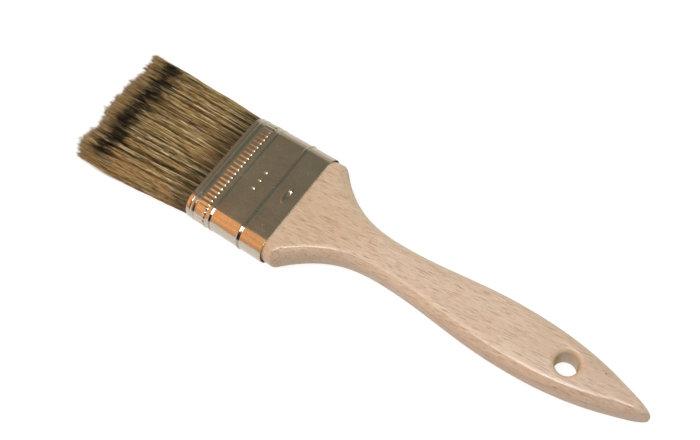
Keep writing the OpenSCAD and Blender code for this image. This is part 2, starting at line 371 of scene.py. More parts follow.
def beech():
    """Varnished beech: pale tan, with short reddish-brown flecks along the grain."""
    n = Nodes("beech")
    figure = n.noise(n.place(60, 8, 9, turn=GRAIN_TURN), detail=4, roughness=0.6, distortion=0.8)
    tone = n.ramp(figure, [
        (0.34, (0.615, 0.475, 0.36)), (0.5, (0.66, 0.53, 0.415)), (0.66, (0.69, 0.575, 0.465))])
    pink = n.noise(n.place(14, 5, 6, 1), detail=3)
    tone = n.mix(n.math("MULTIPLY", n.step(pink, 0.5, 0.7), 0.5), tone, (0.70, 0.50, 0.39))
    fibre = n.noise(n.place(4, 0.3, 0.5, 2, GRAIN_TURN), detail=3, roughness=0.65)
    tone = n.mix(n.math("MULTIPLY", n.step(fibre, 0.45, 0.72), 0.75), tone, (0.53, 0.385, 0.27))
    mottle = n.noise(n.place(1.0, 0.3, 0.5, 8, GRAIN_TURN), detail=2)
    tone = n.mix(n.math("MULTIPLY", n.step(mottle, 0.5, 0.7), 0.42), tone, (0.55, 0.41, 0.30))
    pale = n.noise(n.place(7, 0.45, 0.6, 3, GRAIN_TURN), detail=2)
    tone = n.mix(n.math("MULTIPLY", n.step(pale, 0.52, 0.75), 0.5), tone, (0.80, 0.69, 0.57))
    coordinates = n.node("ShaderNodeTexCoord").outputs["Object"]
    split = n.node("ShaderNodeSeparateXYZ", None, _0=coordinates)
    # A warmer tone towards the ferrule
    shoulder = n.step(split.outputs["X"], FERRULE_END_X + 45 * MM, FERRULE_END_X + 8 * MM)
    tone = n.mix(shoulder, tone, (0.93, 0.88, 0.80), "MULTIPLY")
    # Painted shade: the wood is darker towards the tail, where the light falls off
    tail = n.step(split.outputs["X"], TAIL_X - 48 * MM, TAIL_X - 18 * MM)
    tone = n.mix(tail, tone, (0.93, 0.90, 0.90), "MULTIPLY")
    # The rounded sides cut the grain at a slant and look more orange; the darker orange is also painted
    # shade on the rounded sides
    from_middle = n.math("ABSOLUTE", n.math("SUBTRACT", split.outputs["Z"], MID_Z))
    side = n.step(from_middle, HANDLE_THICKNESS / 2 - 1.2 * MM, HANDLE_THICKNESS / 2 - 4 * MM)
    streaks = n.noise(n.place(16, 3, 0.8, 4, GRAIN_TURN), detail=3, roughness=0.6)
    orange = n.ramp(streaks, [(0.38, (0.62, 0.44, 0.30)), (0.62, (0.47, 0.29, 0.17))])
    tone = n.mix(n.math("MULTIPLY", side, 0.6), tone, orange)
    long_flecks = n.step(n.noise(n.place(5, 0.33, 0.8, 5, GRAIN_TURN), detail=1), 0.60, 0.69)
    short_flecks = n.step(n.noise(n.place(2.4, 0.27, 0.6, 6, GRAIN_TURN), detail=1), 0.61, 0.70)
    tone = n.mix(n.math("MULTIPLY", short_flecks, 0.55), tone, (0.44, 0.27, 0.16))
    tone = n.mix(n.math("MULTIPLY", long_flecks, 0.8), tone, (0.38, 0.21, 0.11))
    # The wall of the hole and its rim get a tan tone: pale end grain, and partly painted light that
    # brightens the shaded wall
    hole_centre = (TAIL_X - HOLE_FROM_TAIL, 0, 0)
    hole = n.spot(hole_centre, HOLE_RADIUS + 0.9 * MM, axes=(1, 1, 0))
    tone = n.mix(n.math("MULTIPLY", hole, 0.75), tone, (0.64, 0.51, 0.33))
    knot = n.spot((PIN_KNOT_X, PIN_KNOT_Y, MID_Z + HANDLE_THICKNESS / 2), 0.3 * MM)
    tone = n.mix(knot, tone, (0.2, 0.1, 0.05))
    n.set(n.shader, "Base_Color", tone)
    wear = n.noise(n.place(14, 6, 6, 7), detail=4, roughness=0.65)
    n.set(n.shader, "Roughness", n.math("MULTIPLY_ADD", wear, 0.22, 0.34))
    n.set(n.shader, "Coat_Weight", 0.9)
    # The varnish is duller between the shoulder and the hole, and all round the hole
    dull = n.step(split.outputs["X"], FERRULE_END_X + 18 * MM, FERRULE_END_X + 48 * MM)
    dull = n.math("MULTIPLY", dull, n.step(split.outputs["X"], TAIL_X - 30 * MM, TAIL_X - 55 * MM))
    dull = n.math("MAXIMUM", dull, n.spot(hole_centre, HOLE_RADIUS + 2 * MM, axes=(1, 1, 0)))
    n.set(n.shader, "Coat_Roughness", n.math("MULTIPLY_ADD", dull, 0.13, 0.28))
    n.set(n.shader, "Coat_IOR", 1.7)
    ripple = n.noise(n.place(5, 1.3, 1.3, 9), detail=2)
    height = n.math("MULTIPLY_ADD", long_flecks, -0.8, fibre)
    grit = n.noise(n.place(1.6, 0.4, 0.4, 10, GRAIN_TURN), detail=1)
    height = n.math("MULTIPLY_ADD", ripple, 2.2, n.math("MULTIPLY_ADD", grit, 1.1, height))
    n.bump(n.math("MULTIPLY_ADD", wear, 0.8, height), 0.06 * MM, 0.7)
    return n.material


# ---- Ferrule ----------------------------------------------------------------------------

# Each bead's distance from the mouth, its height, and how far it runs towards the mouth and the handle
BEADS = [
    (2.9 * MM, 0.22 * MM, 0.45 * MM, 1.5 * MM),
    (11.75 * MM, 0.27 * MM, 0.55 * MM, 0.95 * MM),
    (26.3 * MM, 0.38 * MM, 0.6 * MM, 1.15 * MM),
]
BEAD_POWER = 1.35
RIM_GROOVE_AT, RIM_GROOVE_HALF, RIM_GROOVE_DEPTH = 2.1 * MM, 0.35 * MM, 0.1 * MM
CROWN_FROM, CROWN_DROP = 10.5 * MM, 0.15 * MM
FLUTE_START, FLUTE_LENGTH, FLUTE_COUNT, FLUTE_HEIGHT = 4.9 * MM, 5.0 * MM, 58, 0.16 * MM
FLUTE_END_RADIUS, FLUTE_LEAN = 0.8 * MM, 0.25
FLUTE_KNOB_HEIGHT, FLUTE_KNOB_HALF = 0.22 * MM, 0.8 * MM
STAKE_AT, STAKE_HALF_LENGTH, STAKE_HALF_WIDTH, STAKE_DEPTH = 33 * MM, 2.8 * MM, 1.15 * MM, 0.6 * MM
STAKE_TONGUE, STAKE_LIP = 0.42 * MM, 0.14 * MM
SEAM_DEPTH, SEAM_HALF, SEAM_STEP = 0.18 * MM, 0.3 * MM, 0.08 * MM
SHEET_WAVE = 0.04 * MM
MOUTH_LIP, END_LIP = 0.25 * MM, 0.1 * MM
PIP_AT, PIP_PITCH, PIP_RADIUS, PIP_HEIGHT = 19.5 * MM, 4 * MM, 0.8 * MM, 0.3 * MM

FLAT_Y = FERRULE_WIDTH / 2 - CORNER
FLAT_Z = FERRULE_THICKNESS / 2 - CORNER
ARC = math.pi / 2 * CORNER
SECTION_LENGTH = 4 * (FLAT_Y + ARC + FLAT_Z)


def section_points(s):
    """Points and outward directions, each [y, z], at distances s round the ferrule from its top middle."""
    quarter = SECTION_LENGTH / 4
    quadrant = np.floor(s / quarter).astype(int) % 4
    into = s - np.floor(s / quarter) * quarter
    t = np.where(quadrant % 2 == 1, quarter - into, into)
    turn = np.clip(t - FLAT_Y, 0, ARC) / CORNER
    y = np.minimum(t, FLAT_Y) + CORNER * np.sin(turn)
    z = FLAT_Z - np.maximum(t - FLAT_Y - ARC, 0) + CORNER * np.cos(turn)
    side = np.where(quadrant < 2, 1, -1)
    face = np.where((quadrant == 0) | (quadrant == 3), 1, -1)
    return np.stack([side * y, face * z], -1), np.stack([side * np.sin(turn), face * np.cos(turn)], -1)


def round_from(s, middle):
    """Signed distance round the ferrule from a place on it."""
    return (s - middle + SECTION_LENGTH / 2) % SECTION_LENGTH - SECTION_LENGTH / 2


def hump(distance, half_width):
    """1 at the middle, falling smoothly to 0 at half_width."""
    return np.where(np.abs(distance) < half_width, (1 + np.cos(np.pi * distance / half_width)) / 2, 0)


def ferrule_relief(s, x):
    """How far the sheet stands out of its plain form, at s round it and x from the mouth."""
    d = 0
    for at, height, before, after in BEADS:
        run = np.where(x < at, before, after)
        d = d + height * np.clip(1 - np.abs((x - at) / run) ** BEAD_POWER, 0, 1)
    d = d - RIM_GROOVE_DEPTH * hump(x - RIM_GROOVE_AT, RIM_GROOVE_HALF)
    # The faces fall away a little before the rounded sides begin
    quarter = SECTION_LENGTH / 4
    from_face = np.abs((s + quarter) % (2 * quarter) - quarter)
    fall = np.clip((from_face - CROWN_FROM) / (FLAT_Y - CROWN_FROM), 0, 1) ** 2
    d = d - CROWN_DROP * fall * (1 - smoothstep(FLAT_Y, FLAT_Y + ARC, from_face))
    # Raised flutes
    across = ((s * FLUTE_COUNT / SECTION_LENGTH) % 1 - 0.5) / 0.5 - FLUTE_LEAN
    across = across / (1 - np.sign(across) * FLUTE_LEAN)
    straight = FLUTE_LENGTH / 2 - FLUTE_END_RADIUS
    along = np.clip(np.abs(x - FLUTE_START - FLUTE_LENGTH / 2) - straight, 0, None) / FLUTE_END_RADIUS
    knob = FLUTE_KNOB_HEIGHT * hump(x - FLUTE_START - FLUTE_LENGTH + FLUTE_KNOB_HALF, FLUTE_KNOB_HALF)
    d = d + (FLUTE_HEIGHT + knob) * hump(across, 1) * np.clip(1 - along**2, 0, 1)
    # Stakes, one on each face: a lanced dent, deepest on the handle's side, with a tongue left in it
    for middle in (0, SECTION_LENGTH / 2):
        away = round_from(s, middle) / STAKE_HALF_LENGTH
        along = (x - STAKE_AT) / STAKE_HALF_WIDTH
        radius = np.hypot(away, along)
        slope = np.clip(0.55 + 0.45 * along + 0.15 * away, 0.1, 1)
        d = d - STAKE_DEPTH * smoothstep(1.05, 0.5, radius) * slope
        d = d + STAKE_LIP * hump(radius - 1.15, 0.3) * np.clip(0.6 - 0.4 * along, 0, 1)
        tongue = smoothstep(-0.6, 0.8, away) * hump(along - 0.05, 0.7) * smoothstep(1.15, 0.85, radius)
        d = d + STAKE_TONGUE * tongue
    # Three raised pips on the upper face
    for i in (-1, 0, 1):
        radius = np.hypot(round_from(s, i * PIP_PITCH), x - PIP_AT) / PIP_RADIUS
        d = d + PIP_HEIGHT * np.clip(1 - radius**2, 0, 1)
    # The seam along the middle of the lower face, one edge a little proud of the other
    seam = round_from(s, SECTION_LENGTH / 2)
    proud_edge = SEAM_STEP * smoothstep(0, SEAM_HALF, seam) * smoothstep(2.6 * MM, 0.6 * MM, seam)
    d = d - SEAM_DEPTH * hump(seam, SEAM_HALF) + proud_edge
    # Formed sheet is never quite flat
    round_turn = 2 * math.pi * s / SECTION_LENGTH
    return d + SHEET_WAVE * np.sin(3 * round_turn + 1.1) * np.sin(x / (5.1 * MM) + 0.4)


def graded(stops, end):
    """Positions from 0 to end, with the given spacing from each (position, spacing) stop on."""
    positions = [0.0]
    while positions[-1] < end:
        spacing = [gap for start, gap in stops if start <= positions[-1] + 1e-9][-1]
        positions.append(positions[-1] + spacing)
    return np.array(positions) * end / positions[-1]


# Along the ferrule, in millimetres: where each stretch of the mesh starts and the spacing of its rings
RING_SPACING = [
    (0, 0.07), (0.3, 0.4), (1.7, 0.09), (3.4, 0.25), (4.7, 0.13), (6.2, 0.5), (8.4, 0.13),
    (10.2, 0.3), (10.8, 0.1), (13, 0.6), (18.5, 0.16), (20.5, 0.8), (25.4, 0.11), (28, 0.6),
    (31.2, 0.14), (34.8, 0.6), (37.6, 0.04),
]


def build_ferrule():
    around = 8 * FLUTE_COUNT
    s = (np.arange(around) + 0.5) * SECTION_LENGTH / around
    x = graded([(start * MM, gap * MM) for start, gap in RING_SPACING], FERRULE_LENGTH)
    place, outward = section_points(s)
    relief = ferrule_relief(s[None, :], x[:, None])
    lip = np.where(x < FERRULE_LENGTH / 2, MOUTH_LIP, END_LIP)
    inside = np.minimum(x, FERRULE_LENGTH - x)
    rounding = lip - np.sqrt(np.clip(lip**2 - np.clip(lip - inside, 0, None) ** 2, 0, None))

    def shell(xs, offset):
        yz = place[None] + outward[None] * offset[..., None]
        long = np.broadcast_to(MOUTH_X + xs[:, None, None], (len(xs), around, 1))
        return np.concatenate([long, yz + [0, MID_Z]], axis=2).reshape(-1, 3)

    outer = shell(x, relief - rounding[:, None])
    length = FERRULE_LENGTH / MM
    x_in = np.array([0, 0.25, 2, length / 2, length - 2, length - 0.25, length]) * MM
    depth = np.where(x_in == 0, MOUTH_LIP, WALL)
    inner = shell(x_in, np.broadcast_to(-depth[:, None], (len(x_in), around)))
    rows, base = len(x), len(x) * around
    quads = [grid_quads(rows, around, flip=True), grid_quads(len(x_in), around) + base]
    j = np.arange(around)
    k = (j + 1) % around
    last, inner_last = (rows - 1) * around, base + (len(x_in) - 1) * around
    quads.append(np.stack([j, base + j, base + k, k], 1))
    quads.append(np.stack([last + k, inner_last + k, inner_last + j, last + j], 1))
    return make_mesh("ferrule", np.concatenate([outer, inner]), np.concatenate(quads))


def plated_steel():
    """Nickel-plated sheet steel, bright but worn, with fine rubbing marks and a few specks."""
    n = Nodes("plated_steel")
    cloud = n.noise(n.place(9, 9, 9), detail=5, roughness=0.6)
    grain = n.noise(n.place(0.6, 0.6, 0.6), detail=2, roughness=0.7)
    rub = n.noise(n.place(6, 0.5, 0.5), detail=3, roughness=0.6)
    colour = n.ramp(cloud, [
        (0.3, (0.575, 0.515, 0.43)), (0.5, (0.62, 0.56, 0.475)), (0.7, (0.655, 0.605, 0.52))])
    colour = n.mix(n.math("MULTIPLY", n.step(grain, 0.42, 0.66), 0.28), colour, (0.40, 0.375, 0.31))
    specks = n.step(n.noise(n.place(0.6, 0.6, 0.6, 2), detail=0), 0.83, 0.88)
    colour = n.mix(specks, colour, (0.8, 0.78, 0.72))
    n.set(n.shader, "Base_Color", colour)
    n.set(n.shader, "Metallic", 1.0)
    rough = n.math("MULTIPLY_ADD", cloud, 0.16, 0.07)
    rough = n.math("MULTIPLY_ADD", rub, 0.08, rough)
    n.set(n.shader, "Roughness", n.math("MULTIPLY_ADD", specks, 0.4, rough))
    dents = n.noise(n.place(7, 3.5, 3.5, 3), detail=2)
    height = n.math("MULTIPLY_ADD", rub, 0.8, n.math("MULTIPLY", grain, 0.6))
    height = n.math("MULTIPLY_ADD", dents, 7.0, height)
    waves = n.noise(n.place(11, 1.3, 1.3, 5), detail=2)
    height = n.math("MULTIPLY_ADD", waves, 4.0, height)
    n.bump(n.math("MULTIPLY_ADD", cloud, 4.0, height), 0.02 * MM, 0.55)
    return n.material


# ---- Bristles ---------------------------------------------------------------------------

STRANDS, STRAND_POINTS = 8000, 14
FLAGS, FLAG_POINTS, FLAG_RUN = 8000, 4, 4 * MM
LANES = 10
SET_DEPTH = 3 * MM
ROOT_WIDTH = FERRULE_WIDTH - 2 * WALL - 0.2 * MM
ROOT_THICKNESS = FERRULE_THICKNESS - 2 * WALL - 0.3 * MM
FREE = MOUTH_X - TIP_X
TIP_THICKNESS = 6.8 * MM
# The share by which the tuft widens from the mouth to its tips, on the -Y side and on the +Y side
FLARE_NEAR, FLARE_FAR = 0.185, 0.09
# Notches in the line of the tips, as shares of the half width
NOTCHES = (-0.64, -0.3, 0.1, 0.62)
# Wider hollows in the same line: place and half width as shares of the half width, and depth
HOLLOWS = [(-0.5, 0.16, 0.9 * MM), (0.6, 0.2, 1.1 * MM)]
CLUMPS, CLUMP_PULL = 1000, 0.38
# Spread of the free length in millimetres, from strand to strand and from clump to clump
STRAND_SPREAD, CLUMP_SPREAD = 0.5, 0.45
# Shares of the strands that stand proud of the tip line, fall short of it, stray sideways and are pale
PROUD_SHARE, SHORT_SHARE, STRAY_SHARE, PALE_SHARE = 0.09, 0.25, 0.15, 0.18
# The parts of the UV map's height that the main strands and the split ends take
BAKE_ROWS = [(0, 0.8), (0.8, 1)]


def strand_roots(count):
    """Places in the mouth, each [y, z, depth], denser under the outer surface."""
    corner = CORNER - WALL - 0.2 * MM
    y = rng.uniform(-1, 1, count * 5) * ROOT_WIDTH / 2
    z = rng.uniform(-1, 1, count * 5) * ROOT_THICKNESS / 2
    over = np.stack([np.abs(y) - (ROOT_WIDTH / 2 - corner), np.abs(z) - (ROOT_THICKNESS / 2 - corner)])
    depth = np.where(
        over.min(axis=0) > 0, corner - np.hypot(*np.clip(over, 0, None)), corner - over.max(axis=0))
    kept = (depth > 0) & (rng.uniform(0, 1, len(y)) < 0.28 + 0.72 * np.exp(-((depth / (1.4 * MM)) ** 2)))
    return np.stack([y, z, depth], 1)[kept][:count]


def tip_line(across, through):
    """How far the tips reach past or short of the tuft's plain end, across and through the tuft."""
    notch = sum(np.exp(-(((across - place) / 0.03) ** 2)) for place in NOTCHES)
    high_side = 1.9 * MM * smoothstep(-0.4, -0.1, across)
    place = across * ROOT_WIDTH / 2
    hollows = sum(depth * np.exp(-(((across - at) / half) ** 2)) for at, half, depth in HOLLOWS)
    lobes = Waves((3.5 * MM, 11 * MM), (1, 2), (30 * MM, 60 * MM), 6)(place, 0, 0)
    corner = smoothstep(0.80, 1.0, np.abs(across)) * np.where(across < 0, -4.5 * MM, 0.7 * MM)
    return high_side + 0.25 * MM * lobes - 1.2 * MM * notch - hollows + corner - 1.0 * MM * through**2


def clump_leaders(roots):
    """For each strand, the nearest of the strands that lead a clump, as indices into the roots."""
    leaders = rng.choice(len(roots), CLUMPS, replace=False)
    flat = roots[:, 0] + 1j * roots[:, 1]
    return leaders[np.abs(flat[:, None] - flat[None, leaders]).argmin(axis=1)]


def strand_paths(roots, leader):
    """Centre lines of the main strands, as an array strand x step x 3, and each strand's free length."""
    count = len(roots)
    y0, z0, depth = roots.T
    across, through = 2 * y0 / ROOT_WIDTH, 2 * z0 / ROOT_THICKNESS
    length = FREE - 0.9 * MM + tip_line(across, through) + rng.normal(0, STRAND_SPREAD, count) * MM
    length = length + rng.normal(0, CLUMP_SPREAD, count)[leader] * MM
    proud_share = PROUD_SHARE * (1 + 2 * smoothstep(-0.7, -0.9, across))
    for group in (np.arange(count), leader):
        proud = rng.uniform(0, 1, count) < proud_share
        length = length + np.where(proud, rng.uniform(0.5, 2.1, count) * MM, 0)[group]
    short = rng.uniform(0, 1, count) < SHORT_SHARE * np.exp(-depth / (1.0 * MM))
    length = length - np.where(short, rng.uniform(8, 17, count) * MM, 0)
    t = np.linspace(0, 1, STRAND_POINTS)[None]
    run = -SET_DEPTH + (length[:, None] + SET_DEPTH) * t
    share = np.clip(run / FREE, 0, 1)
    free = smoothstep(0, 0.35, share)
    near_flare = FLARE_NEAR * np.clip(share / 0.72, 0, 1) ** 0.85
    flare = np.where(y0[:, None] < 0, near_flare, FLARE_FAR * share**0.9)
    y = y0[:, None] * (1 + flare)
    z = z0[:, None] * (1 + (TIP_THICKNESS / ROOT_THICKNESS - 1) * share**1.7)
    coarse = Waves((3 * MM, 8 * MM), (40 * MM, 90 * MM), (6 * MM, 12 * MM))
    fine = Waves((0.9 * MM, 2.4 * MM), (20 * MM, 60 * MM), (2 * MM, 5 * MM))
    lift = Waves((1.2 * MM, 4 * MM), (25 * MM, 70 * MM), (3 * MM, 9 * MM))
    y = y + free * (1 - 0.5 * share) * (0.16 * MM * coarse(y, run, z) + 0.08 * MM * fine(y, run, z))
    z = z + free * 0.2 * MM * lift(y, run, z) * (1 - 0.5 * share)
    # Each strand wanders by itself too, and a few run straight across their neighbours
    for target, size, rates in ((y, 0.12, (2, 7)), (z, 0.12, (8, 26))):
        bend = np.sin(share * rng.uniform(*rates, (count, 1)) + rng.uniform(0, 6.3, (count, 1)))
        target += free * bend * rng.normal(0, size, (count, 1)) * MM
    stray = np.where(rng.uniform(0, 1, count) < STRAY_SHARE, 1.1, 0.15)[:, None]
    y += share * (1 - 0.4 * share) * rng.normal(0, 1, (count, 1)) * stray * MM
    # The ends draw together in small clumps
    pull = CLUMP_PULL * (smoothstep(0.72, 1, share) + 0.5 * smoothstep(0.94, 1.03, share))
    y, z = y + pull * (y[leader] - y), z + pull * (z[leader] - z)
    y += 0.25 * MM * smoothstep(0.78, 1, share) * rng.normal(0, 1, (count, 1))
    z = np.clip(z, 0.2 * MM - MID_Z, MID_Z)
    return np.stack([MOUTH_X - run, y, z + MID_Z], -1), length


def tubes(centres, radii):
    """Closed three-sided tubes along rows of centre points: points, quads, triangles and UV places.

    In the UV map each tube is an upright strip, in one of two rows.
    """
    count, steps = centres.shape[:2]
    angle = rng.uniform(0, 2 * math.pi, (count, 1, 1)) + np.arange(3)[None, None] * 2 * math.pi / 3
    angle = np.broadcast_to(angle, (count, steps, 3))
    ring = np.stack([np.zeros_like(angle), np.cos(angle), np.sin(angle)], axis=-1)
    points = (centres[:, :, None] + ring * radii[:, :, None, None]).reshape(-1, 3)
    base = (np.arange(count) * steps * 3)[:, None, None]
    i = (np.arange(steps - 1) * 3)[None, :, None]
    j = np.arange(3)[None, None]
    k = (j + 1) % 3
    quads = np.stack([base + i + j, base + i + k, base + i + 3 + k, base + i + 3 + j], -1).reshape(-1, 4)
    first = base[:, 0, 0]
    last = first + (steps - 1) * 3
    triangles = np.concatenate([
        np.stack([first, first + 2, first + 1], 1),
        np.stack([last, last + 1, last + 2], 1),
    ])
    column = np.arange(count)[:, None, None]
    u = (column // 2 + 0.15 + 0.35 * j) / math.ceil(count / 2)
    v = (column % 2 + 0.03 + 0.94 * np.arange(steps)[None, :, None] / (steps - 1)) / 2
    uv = np.stack(np.broadcast_arrays(u, v), -1).reshape(-1, 2)
    return points, quads, triangles, uv


def flag_paths(paths, length):
    """Finer branches that leave the strands near their tips, as split ends do, and their parents."""
    parent = rng.choice(np.flatnonzero(length > FREE - 6 * MM), FLAGS)
    end = paths[parent, -1]
    back = paths[parent, -2] - end
    run = FLAG_RUN / np.linalg.norm(back, axis=1, keepdims=True)
    start = end + back * run * rng.uniform(0.5, 1, (FLAGS, 1))
    splay = rng.normal(0, 1, (FLAGS, 3)) * [0.2 * MM, 0.65 * MM, 0.5 * MM]
    reach = rng.uniform(0.8, 1.45, (FLAGS, 1, 1))
    u = np.linspace(0, 1, FLAG_POINTS)[None, :, None]
    made = start[:, None] + (end - start)[:, None] * u * reach + splay[:, None] * u**1.7
    made[..., 2] = np.clip(made[..., 2], 0.2 * MM, None)
    return made, parent


def bristle_piece(name, groups):
    """One piece from groups of centre lines, radii and, for each strand, the values of its attributes."""
    parts, strips = [], []
    offset = 0
    columns = {}
    for (centres, radii, values), (low, high) in zip(groups, BAKE_ROWS):
        points, quads, triangles, uv = tubes(centres, radii)
        strips.append(uv * [1, high - low] + [0, low])
        per_strand = centres.shape[1] * 3
        out = MOUTH_X - points[:, 0]
        for key, value in values.items():
            spread = np.repeat(value, per_strand)
            columns.setdefault(key, []).append((spread - out) / (10 * MM) if key == "from_tip" else spread)
        parts.append((points, quads + offset, triangles + offset))
        offset += len(points)
    piece = make_mesh(name, *(np.concatenate(column) for column in zip(*parts)))
    corners = np.zeros(len(piece.data.loops), np.int32)
    piece.data.loops.foreach_get("vertex_index", corners)
    layer = piece.data.uv_layers.new(name="OFBake")
    layer.data.foreach_set("uv", np.concatenate(strips)[corners].astype(np.float32).ravel())
    for key, values in columns.items():
        attribute = piece.data.attributes.new(key, "FLOAT", "POINT")
        attribute.data.foreach_set("value", np.concatenate(values).astype(np.float32))
    return piece


def build_bristles():
    """The main strands and their split tips, cut into lanes across the width. Returns the pieces."""
    roots = strand_roots(STRANDS)
    count = len(roots)
    leader = clump_leaders(roots)
    paths, length = strand_paths(roots, leader)
    t = np.linspace(0, 1, STRAND_POINTS)[None]
    pale = rng.uniform(0, 1, count) < PALE_SHARE
    taper = 1 - 0.25 * t - 0.45 * t**5
    radii = rng.uniform(0.07, 0.12, (count, 1)) * (1 + 0.3 * pale[:, None]) * MM * taper
    bundle = Waves((1.0 * MM, 3.5 * MM), (1, 2), (3 * MM, 8 * MM))(roots[:, 0], 0, roots[:, 1])
    full_tip = MOUTH_X - paths[:, -1, 0] + np.maximum(FREE - 3 * MM - length, 0)
    tone = 0.41 + 0.13 * bundle + rng.normal(0, 0.12, count) + rng.normal(0, 0.08, count)[leader]
    values = {
        "strand_tone": np.clip(tone + 0.42 * pale, 0, 1),
        "strand_shift": rng.uniform(-1, 1, count),
        "strand_depth": np.clip(roots[:, 2] / (2 * MM), 0, 1),
        "from_tip": full_tip,
    }
    flags, parent = flag_paths(paths, length)
    u = np.linspace(0, 1, FLAG_POINTS)[None]
    flag_radii = rng.uniform(0.04, 0.085, (FLAGS, 1)) * MM * (1 - 0.6 * u)
    pieces = []
    lane_edges = np.linspace(-1.001, 1.001, LANES + 1) * ROOT_WIDTH / 2
    for layer, side in (("upper", 1), ("lower", -1)):
        in_layer = roots[:, 1] * side > 0
        for lane in range(LANES):
            chosen = in_layer & (roots[:, 0] >= lane_edges[lane]) & (roots[:, 0] < lane_edges[lane + 1])
            fine = chosen[parent]
            main_values = {key: value[chosen] for key, value in values.items()}
            fine_values = {key: value[parent][fine] for key, value in values.items()}
            groups = [
                (paths[chosen], radii[chosen], main_values),
                (flags[fine], flag_radii[fine], fine_values),
            ]
            pieces.append(bristle_piece(f"bristles_{layer}_{lane + 1}", groups))
    return pieces


def bristle():
    """Natural bristle: golden to black strands, with a blotchy dark band behind paler brown ends. The band
    is partly painted shade, and painted light and shade lie on the strands as well.
    """
    n = Nodes("bristle")
    tone, shift, from_tip = n.attribute("strand_tone"), n.attribute("strand_shift"), n.attribute("from_tip")
    depth = n.attribute("strand_depth")
    # Each strand has its own light and dark lengths
    own_place = n.node(
        "ShaderNodeCombineXYZ", None, _0=n.math("MULTIPLY", from_tip, 2.6),
        _1=n.math("MULTIPLY", shift, 60.0), _2=n.math("MULTIPLY", tone, 40.0)).outputs[0]
    own = n.noise(own_place, detail=1.5)
    streak = n.noise(n.place(12, 0.5, 0.8), detail=2.5, roughness=0.6)
    mixed = n.math("MULTIPLY_ADD", n.math("SUBTRACT", own, 0.5), 0.9, tone)
    mixed = n.math("MULTIPLY_ADD", n.math("SUBTRACT", streak, 0.5), 1.3, mixed)
    coordinates = n.node("ShaderNodeTexCoord").outputs["Object"]
    split = n.node("ShaderNodeSeparateXYZ", None, _0=coordinates)
    # Painted light: strands on the -Y side, towards the key light, are made lighter; they are given a
    # warmer colour too
    lit_warm_side = n.step(split.outputs["Y"], -14 * MM, -24 * MM)
    mixed = n.math("MULTIPLY_ADD", lit_warm_side, 0.10, mixed)
    colour = n.ramp(mixed, [
        (0.0, (0.030, 0.022, 0.010)), (0.18, (0.09, 0.058, 0.022)), (0.40, (0.295, 0.195, 0.07)),
        (0.60, (0.49, 0.36, 0.155)), (0.82, (0.74, 0.58, 0.31)), (1.0, (0.88, 0.76, 0.48))])
    warm = n.noise(n.place(18, 4, 4, 1), detail=2)
    warm = n.math("MULTIPLY_ADD", lit_warm_side, 0.17, warm)
    colour = n.mix(n.math("MULTIPLY", n.step(warm, 0.53, 0.75), 0.55), colour, (0.46, 0.25, 0.085))
    # Painted shadow: near-black streaks where the clumps part
    gap_shadow = n.noise(n.place(13, 0.55, 1.0, 2), detail=2.5, roughness=0.65)
    colour = n.mix(n.math("MULTIPLY", n.step(gap_shadow, 0.56, 0.63), 0.85), colour, (0.022, 0.020, 0.010))
    dashes = n.noise(n.place(3.2, 0.45, 0.8, 4), detail=1)
    colour = n.mix(n.math("MULTIPLY", n.step(dashes, 0.61, 0.68), 0.7), colour, (0.04, 0.034, 0.018))
    # The dark band behind the tips: partly darker strands, partly painted shade where the outer strands end
    # short of the tips; it fades out at the -Y edge
    blotch = n.noise(n.place(6, 2.6, 2.6, 3), detail=3, roughness=0.65)
    band_place = n.math("MULTIPLY_ADD", shift, 0.36, from_tip)
    band_place = n.math("MULTIPLY_ADD", n.math("SUBTRACT", blotch, 0.5), 1.5, band_place)
    band = n.math("MULTIPLY", n.step(band_place, 0.46, 0.70), n.step(band_place, 1.78, 1.42))
    keeps_light = n.step(tone, 0.78, 0.92)
    band = n.math("MULTIPLY", band, n.math("MULTIPLY_ADD", keeps_light, -0.3, 1.0))
    band = n.math("MULTIPLY", band, n.step(split.outputs["Y"], -28 * MM, -23 * MM))
    colour = n.mix(band, colour, (0.005, 0.008, 0.005))
    tip_place = n.math("MULTIPLY_ADD", shift, 0.12, from_tip)
    tip_colour = n.ramp(mixed, [
        (0.15, (0.12, 0.075, 0.03)), (0.5, (0.44, 0.295, 0.115)), (0.9, (0.70, 0.53, 0.30))])
    colour = n.mix(n.math("MULTIPLY", n.step(tip_place, 0.78, 0.42), 0.92), colour, tip_colour)
    # Paler split ends: partly their own colour, partly painted light for the light that comes through them
    colour = n.mix(n.math("MULTIPLY", n.step(from_tip, 0.26, 0.03), 0.5), colour, (0.66, 0.505, 0.28))
    # Painted shade: darker deeper in the tuft, where little light gets in between the strands, and darker
    # still near the mouth
    shade = n.step(depth, 0.75, 0.12)
    near_mouth = n.step(split.outputs["X"], MOUTH_X - 14 * MM, MOUTH_X - 1 * MM)
    shade = n.math("MULTIPLY", shade, n.math("MULTIPLY_ADD", near_mouth, -0.85, 1.0))
    colour = n.mix(n.math("MULTIPLY_ADD", shade, -0.75, 0.75), colour, (0, 0, 0))
    n.set(n.shader, "Base_Color", colour)
    n.set(n.shader, "Roughness", 0.38)
    n.set(n.shader, "Specular_IOR_Level", 0.45)
    return n.material


# ---- Inside the ferrule -----------------------------------------------------------------


def filler_wood():
    n = Nodes("filler_wood")
    grain = n.noise(n.place(25, 1.4, 1.4))
    n.set(n.shader, "Base_Color", n.ramp(grain, [(0.3, (0.45, 0.28, 0.14)), (0.7, (0.62, 0.42, 0.24))]))
    n.set(n.shader, "Roughness", 0.8)
    n.bump(grain, 0.1 * MM, 0.5)
    return n.material


def cast_resin():
    n = Nodes("cast_resin")
    cloud = n.noise(n.place(5, 5, 5))
    n.set(n.shader, "Base_Color", n.ramp(cloud, [(0.3, (0.22, 0.1, 0.02)), (0.7, (0.35, 0.18, 0.05))]))
    n.set(n.shader, "Roughness", 0.25)
    return n.material


# ---- Floor, light and camera ------------------------------------------------------------


